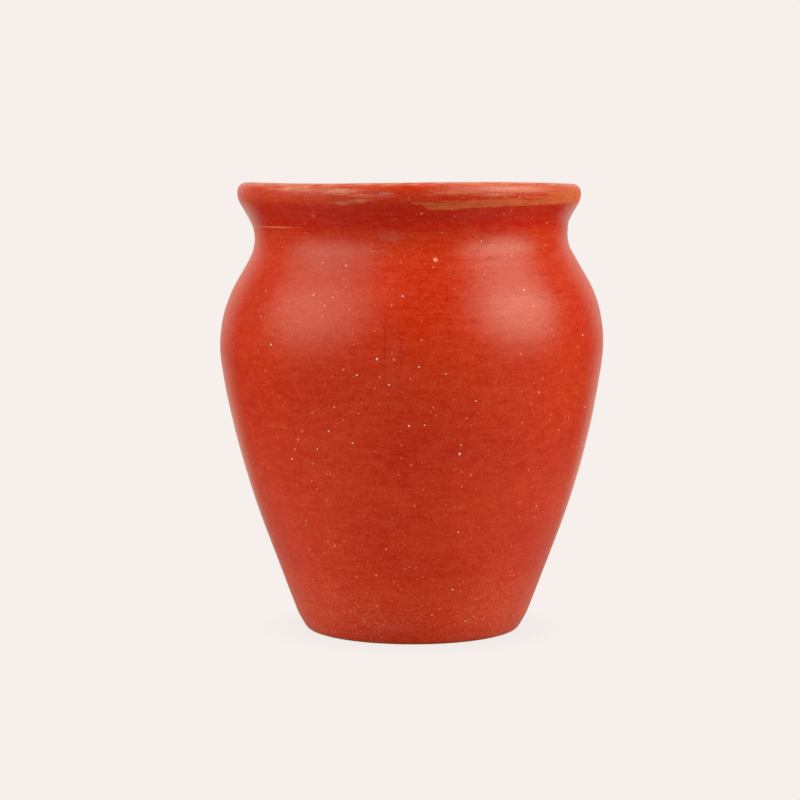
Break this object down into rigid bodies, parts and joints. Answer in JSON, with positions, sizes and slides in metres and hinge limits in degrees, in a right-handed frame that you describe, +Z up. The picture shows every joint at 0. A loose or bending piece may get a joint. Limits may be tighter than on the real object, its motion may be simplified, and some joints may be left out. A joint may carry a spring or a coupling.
{
  "type": "clay water pot",
  "caption": "Wheel-thrown clay pot with a full shoulder, a waisted neck and a flared, rolled lip. Open at the top, it stands on a small flat foot and holds water or dry goods.",
  "frame": {"origin": "on the pot's axis, in the plane of the ring that it stands on", "axes": "+Z up along the axis that the pot was turned about; the pot is round, so X and Y are free"},
  "size_m": [0.1072, 0.1072, 0.125],
  "materials": {
    "red_slipped_clay": "low-fired terracotta with a burnished red slip, satin"
  },
  "bodies": {
    "root": {"pot": "red_slipped_clay"}
  },
  "joints": []
}
